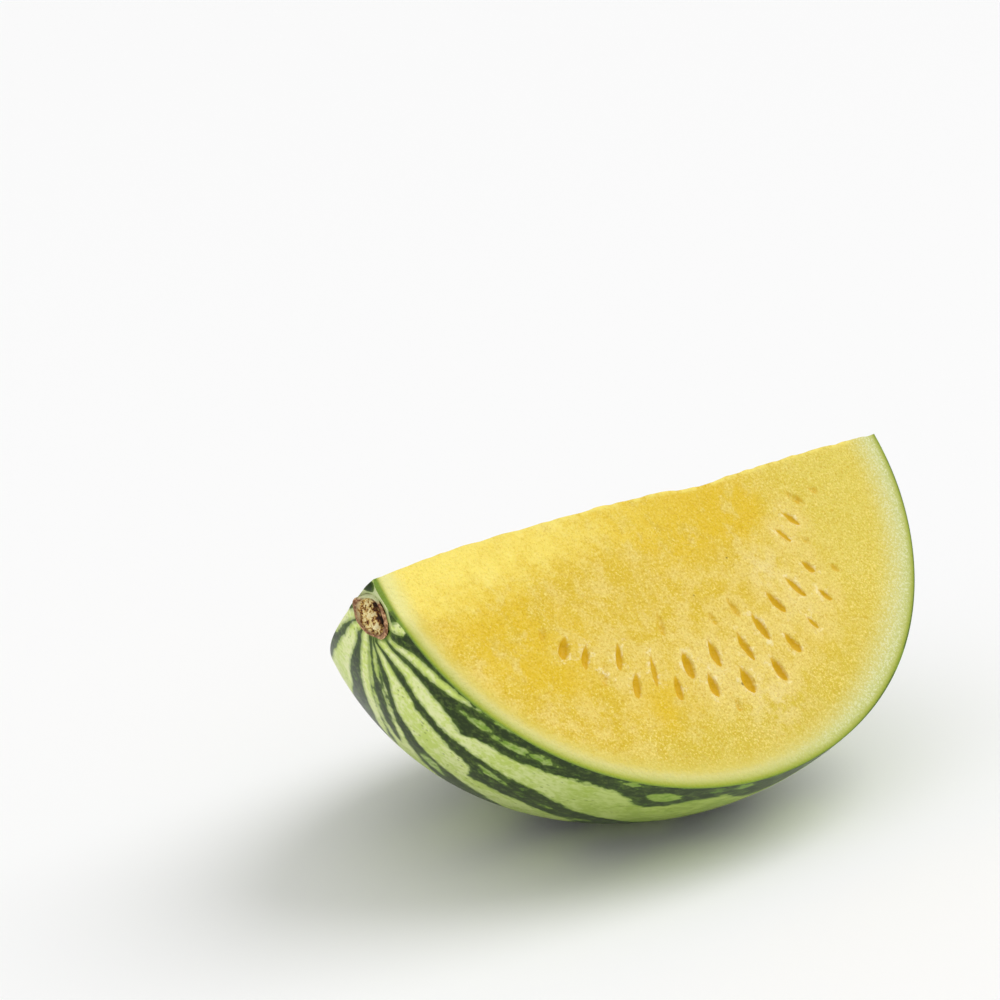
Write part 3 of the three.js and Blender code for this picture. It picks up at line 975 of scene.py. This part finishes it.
# the rind and the pale edge in the cut, by the depth under the skin
def rimTint(start, station, grit, wobble):
    under = start.field("under")
    depth = wobble * (1 / pulp["rimDepth"])
    ends = []
    for name in ("stemRim", "blossomRim"):
        stops = [(inwards / pulp["rimDepth"], colour) for inwards, colour in pulp[name]]
        ends.append(start.node("ShaderNodeValToRGB", {"stops": stops}, {"Fac": depth}))
    rim = station.ease(-45.0, 50.0).tinted(*ends)
    darkRim = start.field("band").ease(0.0, 0.6) * under.ease(0.5, 0.1)
    rim = (darkRim * 0.7).tinted(rim, pulp["darkRim"])
    tip = station.ease(-82.0, -98.0) * start.field("ridge").ease(0.2, 0.9) * under.ease(0.4, 2.5)
    rim = (tip * 0.8).tinted(rim, pulp["tip"])
    frost = grit.ease(0.42, 0.68) * station.ease(-30.0, 50.0) * under.ease(0.8, 3.0)
    return (frost * 0.75).tinted(rim, pulp["frost"])


# what lies in the flesh: faint and open hollows, crumbs and specks
def hollowTint(start, mm, flesh):
    faint = start.field("faint").ease(0.0, 0.9) * mm.noise(pulp["faintSize"], 3.0).ease(0.3, 0.6)
    flesh = (faint * 0.75).tinted(flesh, pulp["hollow"])
    inside = start.field("hollow") + (mm.noise(pulp["hollowSize"], 2.0) - 0.5) * 0.5
    flesh = inside.ease(-0.05, 0.6).tinted(flesh, pulp["hollow"])
    crumb = start.field("crumb") * mm.noise(pulp["crumbSize"], 3.0, 0.7).ease(0.4, 0.6)
    flesh = (crumb * 0.8).tinted(flesh, pulp["crumb"])
    return (start.field("speck").ease(0.3, 0.8) * 0.85).tinted(flesh, pulp["speck"])


def pulpMaterial():
    material, start = newMaterial("yellow_flesh")
    mm = fruitCoordinates(start)
    station = start.node("ShaderNodeSeparateXYZ", {}, {"Vector": mm})
    under = start.field("under")
    grit = mm.noise(pulp["gritSize"], 2.0, 0.7)
    wobble = (mm.noise(pulp["rimWobbleSize"], 3.0) - 0.5) * pulp["rimWobble"]
    wobble = under + wobble * under.ease(1.0, 5.0)
    reach = (wobble * (1.0 - station.ease(-10.0, 70.0) * 0.4)).ease(3.0, 11.0)
    flesh = reach.tinted(rimTint(start, station, grit, wobble), fleshTint(start, mm, station, grit))
    rough = mm.noise(1.5, 2.0) * 0.25 + (pulp["roughness"] - 0.08)
    relief = mm.cells(1.2) * -0.8 + mm.noise(0.5, 2.0, 0.7) + mm.noise(2.5)
    bump = start.node("ShaderNodeBump", {}, {
        "Strength": pulp["bumpStrength"], "Distance": pulp["bumpDepth"], "Height": relief})
    finishMaterial(start, {
        "Base Color": hollowTint(start, mm, flesh), "Roughness": rough, "Normal": bump,
        "Specular IOR Level": pulp["gloss"], "Subsurface Weight": pulp["soaked"],
        "Subsurface Radius": pulp["soakReach"], "Subsurface Scale": pulp["soakDepth"]})
    return material


# colours of the scar; the fibres' run from the dark gaps to the bright tips, partly their own colour and
# partly painted shade and highlight by height
cork = {
    "dark": tone(126, 78, 42),
    "light": tone(236, 188, 142),
    # painted shade on the rim's inner wall
    "wall": tone(88, 48, 24),
    # painted shadow in the stump's deep places
    "crevice": tone(30, 16, 8),
    "fibres": [(0.0, tone(56, 30, 12)), (0.3, tone(136, 84, 36)), (0.5, tone(196, 154, 80)),
               (0.7, tone(236, 212, 134)), (1.0, tone(253, 240, 184))],
    "patchSize": 0.9,
    "strandSize": 1.1,
    "strandStretch": (1.0, 0.4, 1.0),
    "hood": (4.4, 5.8),       # how high over the axis the green collar laps over the cork, in mm
    "hoodSize": 1.5,
    "roughness": 0.8,
    "bumpSize": 0.4,
    "bumpStrength": 0.7,
    "bumpDepth": 0.0002,      # m
}


def scarMaterial():
    material, start = newMaterial("dry_cork")
    mm = fruitCoordinates(start)
    torn = start.field("torn")
    height = start.field("height")
    bark = mm.noise(cork["patchSize"], 4.0, 0.7).ease(0.38, 0.66).tinted(cork["dark"], cork["light"])
    # painted shade: the cork darkens down the rim's inner wall
    bark = (start.field("wall") * 0.5).tinted(bark, cork["wall"])
    leaning = start.node("ShaderNodeVectorRotate", {"rotation_type": "X_AXIS"},
                         {"Vector": mm, "Angle": math.radians(scar["fibreLean"])})
    strand = leaning.stretched(cork["strandStretch"]).noise(cork["strandSize"], 3.0, 0.6)
    # the fibres' streaks, with painted shade lower down and painted highlight higher up
    strands = (height * 0.3 + (strand - 0.5) * 3.6 + 0.48).ease(0.0, 1.0)
    fibre = start.node("ShaderNodeValToRGB", {"stops": cork["fibres"]}, {"Fac": strands})
    colour = torn.tinted(bark, fibre)
    up = start.node("ShaderNodeSeparateXYZ", {}, {"Vector": mm}, "Z")
    hood = (up + mm.noise(cork["hoodSize"], 3.0)).ease(*cork["hood"]) * 0.9
    colour = hood.tinted(colour, skin["collar"])
    # painted shadow: almost black where the surface lies more than 0.3 mm below the fruit's tip, fully so by
    # 1.5 mm
    colour = height.ease(-0.3, -1.5).tinted(colour, cork["crevice"])
    relief = mm.noise(cork["bumpSize"], 3.0)
    bump = start.node("ShaderNodeBump", {}, {
        "Strength": cork["bumpStrength"], "Distance": cork["bumpDepth"], "Height": relief})
    finishMaterial(start, {"Base Color": colour, "Roughness": cork["roughness"], "Normal": bump})
    return material


# the rind's faces keep the first material and what the knife cut takes the second
def giveMaterials(piece):
    piece.data.materials.clear()
    piece.data.materials.append(skinMaterial())
    piece.data.materials.append(pulpMaterial())
    cutPoint = np.empty(len(piece.data.vertices))
    piece.data.attributes["cut"].data.foreach_get("value", cutPoint)
    corners = np.empty(len(piece.data.loops), dtype=np.int32)
    piece.data.loops.foreach_get("vertex_index", corners)
    starts = np.empty(len(piece.data.polygons), dtype=np.int32)
    piece.data.polygons.foreach_get("loop_start", starts)
    allCut = np.minimum.reduceat(cutPoint[corners], starts) > 0.5
    piece.data.polygons.foreach_set("material_index", allCut.astype(np.int32))
    piece.data.attributes.remove(piece.data.attributes["cut"])
    print("faces of rind and of flesh", int((~allCut).sum()), int(allCut.sum()))


smoothUpTo = math.radians(32)


def makeReady(piece):
    layDown(piece)
    bpy.ops.object.shade_smooth_by_angle(angle=smoothUpTo)


wedge = makeWedge()
giveMaterials(wedge)
makeReady(wedge)
settled = vertexPlaces(wedge)
settled[:, 2] = np.maximum(settled[:, 2], 0.0)      # the rind settles flat where it rests
moveVertices(wedge, settled)
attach(wedge, "root")
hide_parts("melon_wedge")
print("melon quarter made")

stump = makeScar()
stump.data.materials.append(scarMaterial())
makeReady(stump)
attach(stump, "root")
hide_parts("stem_scar")
print("stem scar made")

# pale floor and soft studio light: where each lamp shines from, its spread in degrees, W per m2
studio = {
    "floorSize": 24.0,
    "floor": (0.93, 0.93, 0.93, 1.0),
    "floorRoughness": 0.9,
    "world": (1.0, 1.0, 1.0, 1.0),
    "worldStrength": 0.55,
    "lamps": [
        ("window", (0.75, -0.35, 1.0), 50.0, 1.35),
        ("sky", (-0.6, -0.5, 1.3), 90.0, 0.6),
    ],
}
bpy.ops.object.select_all(action="DESELECT")
bpy.ops.mesh.primitive_plane_add(size=studio["floorSize"], location=(0.0, 0.0, 0.0))
floor = bpy.context.object
floor.name = "floor"
paper, start = newMaterial("pale_floor")
finishMaterial(start, {"Base Color": studio["floor"], "Roughness": studio["floorRoughness"]})
floor.data.materials.append(paper)
for name, place, spread, power in studio["lamps"]:
    turned = Vector(place).to_track_quat("Z", "Y").to_euler()
    bpy.ops.object.light_add(type="SUN", location=place, rotation=turned)
    lamp = bpy.context.object
    lamp.name = name
    lamp.data.angle = math.radians(spread)
    lamp.data.energy = power
world = bpy.data.worlds.new("studio")
bpy.context.scene.world = world
world.use_nodes = True
world.node_tree.nodes["Background"].inputs["Color"].default_value = studio["world"]
world.node_tree.nodes["Background"].inputs["Strength"].default_value = studio["worldStrength"]
bpy.context.scene.view_settings.view_transform = "Standard"
print("floor and lights set")
